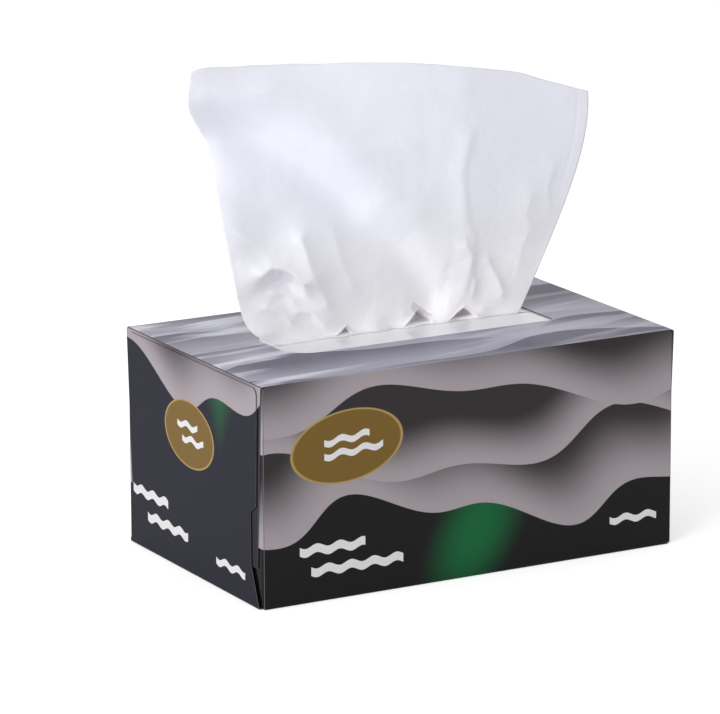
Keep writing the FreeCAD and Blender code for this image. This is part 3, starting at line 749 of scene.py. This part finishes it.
class Sheet:
    """The tissue in the slit: where each point of its middle surface lies."""

    def __init__(self):
        self.foot_width = SLIT_LENGTH - 2 * SLIT_TIP_AIR
        self.pleat = PLEAT_DEPTH
        self.lie = CLIP_TOP + CAD_THICKNESS / 2 + LIE_GAP
        self.reach = (clip_high.y - clip_low.y) / 2 - LIE_MARGIN - LOOP_RADIUS
        self.fall = FILM_LEVEL - self.lie - NECK_BEND
        self.quarter = math.pi * NECK_BEND / 2
        self.half_turn = math.pi * LOOP_RADIUS
        self.run = self.reach - NECK_BEND
        spent = STAND_HEIGHT + TAKE_UP + self.fall + self.quarter + self.run + self.half_turn
        self.inner = self.fall + self.quarter + self.run + self.half_turn + SHEET_LENGTH - spent

    def pleats(self, share):
        """Small pleats that gather the sheet into the slit, shallower towards the slit's tips."""
        ease = 1 - (2 * share - 1) ** 2
        return self.pleat * ease * math.sin(2 * math.pi * PLEATS * share)

    def drawn(self, x):
        """Where the sheet crosses the film at a place along the slit, which draws the slit's edge along."""
        share = (x - WINDOW_MIDDLE) / self.foot_width + 0.5
        return self.pleats(share) if 0 < share < 1 else 0.0

    def folds(self, x, height):
        """How far the standing sheet leaves its plane at a place on it."""
        depth = 0.0
        across, up = x / MM, height / MM
        for folds, power in ((FOLDS, 2.0), (LIPS, LIP_POWER)):
            for line, reach, left, right in folds:
                depth += reach * MM * ridge(across, up, line, left, right, power)
        rise = min(1.0, height / STAND_HEIGHT)
        facet_depth = FACET_DEPTH_LOW + (FACET_DEPTH_HIGH - FACET_DEPTH_LOW) * smooth(rise * FACET_EASE)
        return depth + facet_depth * (0.5 - facets(x, height))

    def hollows(self, x, height):
        """How far the sheet is drawn back into the hollows along its foot, and bulges over them."""
        depth = 0.0
        for left, middle, right, top in HOLLOWS:
            side = (x - middle * MM) / ((right - middle if x > middle * MM else left - middle) * MM)
            under = top * MM * (1 - side) - height
            inside = smooth((HOLLOW_SIDE - side) / HOLLOW_SIDE_EASE)
            depth += HOLLOW_DEPTH * smooth(under / HOLLOW_EDGE + 0.5) * inside
            beside = smooth((BULGE_SIDE - side) / BULGE_SIDE_EASE)
            depth -= HOLLOW_LIP * bell((under + HOLLOW_LIP) / HOLLOW_LIP) * beside
        return depth

    def turned(self, x, height):
        """How far the parts of the sheet beyond its turns recede from the camera."""
        depth = 0.0
        for start, side, slope, low, high, bend in TURNS:
            beyond = math.log(1 + math.exp(side * (x / MM - start) / bend)) * bend
            depth += slope * MM * beyond * smooth((height / MM - low) / (high - low))
        return depth

    def free_height(self, share):
        """Height of the free edge above the carton, at a share of the way across the sheet."""
        height = STAND_HEIGHT - STAND_DROP * share ** DROP_POWER
        height -= CORNER_DROP * math.exp(-share / CORNER_SPREAD)
        height += EDGE_WAVER * noise.noise(Vector((share * EDGE_WAVER_PACE, 0, 0)))
        for swell, middle, spread in EDGE_SWELLS:
            height += swell * MM * bell((share - middle) / spread)
        return height

    def widened(self, share, rise):
        """Share of the way from the slit to the sheet's full width."""
        left = LEFT_JUMP * (1 - math.exp(-rise / LEFT_JUMP_RISE)) + LEFT_SLOPE * rise
        left += LEFT_SWELL * bell((rise - LEFT_SWELL_RISE) / LEFT_SWELL_SPREAD)
        right = RIGHT_SLOPE * rise - (RIGHT_SLOPE - 1) * rise ** RIGHT_EASE_POWER
        return (1 - share) * left + share * right

    def standing(self, share, rise):
        """A point of the standing half: share goes across the sheet, rise from the film to the free edge."""
        foot = WINDOW_MIDDLE + (share - 0.5) * self.foot_width
        free = SHEET_LEAN + (share - 0.5) * SHEET_WIDTH
        x = foot + (free - foot) * self.widened(share, rise)
        over = rise * (TOP + self.free_height(share) - FILM_LEVEL)
        z = FILM_LEVEL + over
        y = self.pleats(share) * (1 - smooth(over / (2 * COLLAR_HEIGHT)))
        y += smooth((over - HOLLOW_START) / (2 * HOLLOW_START)) * self.hollows(x, z - TOP)
        hem = HEM_DEPTH * bell((share - HEM_SHARE) / HEM_SPREAD) * smooth((rise - HEM_FOOT) * HEM_PACE)
        wave_out = FREE_WAVE * rise ** FREE_WAVE_POWER * math.sin(share * FREE_WAVE_PACE + FREE_WAVE_START)
        recess = smooth(over / COLLAR_HEIGHT) * (self.folds(x, z - TOP) + hem + wave_out)
        return Vector((x, y, z)) + SIGHT * (recess + self.turned(x, z - TOP))

    def lying(self, share, fall):
        """A point of the inner half, from the film down, along the clip and back over itself."""
        widening = smooth((fall - self.fall) / (self.run / 2))
        width = self.foot_width + (SHEET_WIDTH - self.foot_width) * widening
        x = WINDOW_MIDDLE * (1 - widening) + (share - 0.5) * width
        if fall < self.fall:
            return Vector((x, self.pleats(share) * (1 - smooth(fall / self.fall)), FILM_LEVEL - fall))
        fall -= self.fall
        if fall < self.quarter:
            turn = fall / NECK_BEND
            return Vector((x, NECK_BEND * (1 - math.cos(turn)), self.lie + NECK_BEND * (1 - math.sin(turn))))
        fall -= self.quarter
        if fall < self.run:
            return Vector((x, NECK_BEND + fall, self.lie))
        fall -= self.run
        if fall < self.half_turn:
            turn = fall / LOOP_RADIUS
            return Vector((x, self.reach + LOOP_RADIUS * math.sin(turn),
                           self.lie + LOOP_RADIUS * (1 - math.cos(turn))))
        return Vector((x, self.reach - (fall - self.half_turn), self.lie + 2 * LOOP_RADIUS))

    def point(self, share, row):
        """A point of the sheet by its row: 0 at the inner free edge, the last at the standing free edge."""
        if row >= LIE_ROWS:
            return self.standing(share, ((row - LIE_ROWS) / STAND_ROWS) ** STAND_CROWDING)
        return self.lying(share, self.inner * (1 - row / LIE_ROWS))


def deselect():
    bpy.ops.object.select_all(action="DESELECT")


def finish_piece(piece, name, finish, node):
    """Names a piece, gives it its finish and puts it in the frame in place of a node."""
    piece.name = name
    piece.data.name = name
    give(piece, finish)
    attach(piece, "root")
    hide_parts(node)


def apply(piece, kind, **settings):
    """A modifier, set up and applied."""
    modifier = piece.modifiers.new(kind.lower(), kind)
    for name, value in settings.items():
        setattr(modifier, name, value)
    bpy.context.view_layer.objects.active = piece
    bpy.ops.object.modifier_apply(modifier=modifier.name)


def add_grid(columns, rows):
    """A flat grid, 1 m square, of so many cells, with its middle at the origin."""
    deselect()
    bpy.ops.mesh.primitive_grid_add(x_subdivisions=columns, y_subdivisions=rows, size=1)
    return bpy.context.active_object


def build_tissue():
    """The sheet in the slit, from a grid whose points follow the folds."""
    sheet = Sheet()
    rows = LIE_ROWS + STAND_ROWS
    piece = add_grid(COLUMNS, rows)
    for vertex in piece.data.vertices:
        vertex.co = sheet.point(vertex.co.x + 0.5, round((vertex.co.y + 0.5) * rows))
    apply(piece, "SOLIDIFY", thickness=PLY_THICKNESS, offset=0)
    piece.data.shade_smooth()
    finish_piece(piece, "standing_tissue", tissue_finish(), "pop_up_tissue")
    return piece


def bead_clip(mesh, size):
    """Crowns the top of the clip's block and draws its long sides in between the folds."""
    for vertex in mesh.vertices:
        rise = (vertex.co.z - clip_low.z) / size.z
        side = 2 * vertex.co.y / size.y
        crown = 1 - (1 - side ** 2) ** 0.5 if abs(side) < 1 else 1
        bead = BEAD_SWELL * abs(math.sin(math.pi * CLIP_LAYERS * rise))
        if abs(side) > BEAD_SIDE:
            vertex.co.y -= math.copysign(BEAD_DEPTH - bead, side)
        vertex.co.z -= CLIP_CROWN * crown * rise ** CROWN_POWER


def build_clip():
    """The clip of tissues: a block with a soft crown and beads of folds along its long sides."""
    deselect()
    size = clip_high - clip_low
    bpy.ops.mesh.primitive_cube_add(size=1, location=(clip_low + clip_high) / 2, scale=size)
    piece = bpy.context.active_object
    bpy.ops.object.transform_apply(location=True, rotation=False, scale=True)
    bpy.ops.object.mode_set(mode="EDIT")
    bpy.ops.mesh.subdivide(number_cuts=CLIP_CUTS)
    bpy.ops.object.mode_set(mode="OBJECT")
    bead_clip(piece.data, size)
    apply(piece, "BEVEL", width=CLIP_BEVEL, segments=CLIP_BEVEL_STEPS)
    piece.data.shade_smooth()
    finish_piece(piece, "layered_clip", clip_finish(), "tissue_stack")
    return piece


def build_film_half(side, sheet):
    """One half of the film: side is -1 in front of the slit and 1 behind it."""
    half = add_grid(*FILM_CELLS)
    middle_x = (film_low.x + film_high.x) / 2
    pace_x, pace_y, pace_side = FILM_WAVE_PACE
    for vertex in half.data.vertices:
        x = middle_x + vertex.co.x * (film_high.x - film_low.x)
        away = vertex.co.y + 0.5
        open_share = max(0.0, 1 - (2 * (x - WINDOW_MIDDLE) / SLIT_LENGTH) ** 2)
        lip = min(LIP_GAP, SLIT_OPENING / 2 * open_share)
        reach = film_high.y * away
        y = lip * (1 - away) + reach + side * sheet.drawn(x) * (1 - away) ** PULL_POWER
        lift = LIP_LIFT * bell(reach / LIP_LIFT_REACH) * open_share
        ripple = FILM_WAVE * noise.noise(Vector((x * pace_x, y * pace_y, side * pace_side)))
        inside = smooth((film_high.y - FILM_MARGIN - reach) / FILM_EASE)
        vertex.co = Vector((x, side * y, FILM_LEVEL + lift + (ripple - FILM_SAG) * inside))
    return half


def build_film():
    """The film under the window, parted along its slit and joined at its ends."""
    sheet = Sheet()
    halves = [build_film_half(side, sheet) for side in (-1, 1)]
    deselect()
    for half in halves:
        half.select_set(True)
    piece = halves[0]
    bpy.context.view_layer.objects.active = piece
    bpy.ops.object.join()
    bpy.ops.object.mode_set(mode="EDIT")
    bpy.ops.mesh.select_all(action="SELECT")
    bpy.ops.mesh.remove_doubles(threshold=DOUBLES)
    bpy.ops.mesh.normals_make_consistent(inside=False)
    bpy.ops.object.mode_set(mode="OBJECT")
    apply(piece, "SOLIDIFY", thickness=FILM_THICKNESS, offset=0)
    piece.data.shade_smooth()
    finish_piece(piece, "glued_film", film_finish(), "window_film")
    return piece


def dress_carton():
    """The carton keeps its own shape and gets its board and print."""
    give(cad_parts["carton"], board_finish())


# Camera: where the photograph was taken from
CAMERA_AZIMUTH = -29.217
CAMERA_ELEVATION = 14.067
CAMERA_ROLL = -0.187
CAMERA_TARGET = Vector((-18.25, 0, 79.24)) * MM
CAMERA_DISTANCE = 1943.9 * MM
CAMERA_LENS = 243.9


def add_camera():
    angles = (CAMERA_AZIMUTH, CAMERA_ELEVATION, CAMERA_ROLL)
    azimuth, elevation, roll = (math.radians(angle) for angle in angles)
    back = Vector((math.sin(azimuth) * math.cos(elevation), -math.cos(azimuth) * math.cos(elevation),
                   math.sin(elevation)))
    level = Vector((math.cos(azimuth), math.sin(azimuth), 0))
    upright = back.cross(level)
    right = level * math.cos(roll) + upright * math.sin(roll)
    data = bpy.data.cameras.new("camera")
    data.lens = CAMERA_LENS
    camera = bpy.data.objects.new("camera", data)
    bpy.context.scene.collection.objects.link(camera)
    camera.location = CAMERA_TARGET + back * CAMERA_DISTANCE
    camera.rotation_mode = "QUATERNION"
    camera.rotation_quaternion = Matrix((right, back.cross(right), back)).transposed().to_quaternion()
    bpy.context.scene.camera = camera


# Lamps: place and aim in metres, size and power
LAMPS = {
    "key": ((-1.75, -0.8, 0.8), (0, 0, 0.1), 1.3, 29),
    "fill": ((1.6, -1.2, 0.9), (0, 0, 0.08), 1.2, 2),
    "back": ((0.2, 1.8, 1.4), (0, 0, 0.08), 1.4, 4),
}

# Light of the world on the object, beside the 1 that the camera sees as white, and the floor's size, its
# grey and how much white the camera sees on it
AMBIENT = 0.59
FLOOR_SIZE = 12
FLOOR_GREY = 0.92
FLOOR_WHITE = 0.42


def add_lamp(name, place, aim, size, power):
    data = bpy.data.lights.new(name, "AREA")
    data.size = size
    data.energy = power
    lamp = bpy.data.objects.new(name, data)
    bpy.context.scene.collection.objects.link(lamp)
    lamp.location = place
    lamp.rotation_mode = "QUATERNION"
    lamp.rotation_quaternion = (Vector(aim) - Vector(place)).to_track_quat("-Z", "Y")


def add_world():
    """An even white world, seen as plain white, that gives the object less light."""
    world = bpy.data.worlds.new("studio")
    bpy.context.scene.world = world
    world.use_nodes = True
    nodes = Nodes(world.node_tree)
    background = nodes.tree.nodes["Background"]
    sockets = {"Value": nodes.seen_directly(), "To Min": AMBIENT, "To Max": 1.0}
    nodes.feed(background.inputs["Color"], (1, 1, 1, 1))
    nodes.feed(background.inputs["Strength"], nodes.node("ShaderNodeMapRange", None, sockets))


def add_floor():
    """A plain pale floor that fades into the white and keeps the object's shadow."""
    deselect()
    bpy.ops.mesh.primitive_plane_add(size=FLOOR_SIZE, location=(0, 0, 0))
    floor = bpy.context.active_object
    floor.name = "floor"
    grey = (FLOOR_GREY, FLOOR_GREY, FLOOR_GREY, 1)
    finish = Finish("studio_floor", Base_Color=grey, Roughness=0.9, Specular_IOR_Level=0.0)
    finish.set(Emission_Color=(1, 1, 1, 1), Emission_Strength=finish.seen_directly() * FLOOR_WHITE)
    give(floor, finish)


dress_carton()
build_clip()
build_film()
build_tissue()
add_floor()
add_world()
for name, (place, aim, size, power) in LAMPS.items():
    add_lamp(name, place, aim, size, power)
add_camera()

bpy.context.scene.view_settings.view_transform = "Standard"
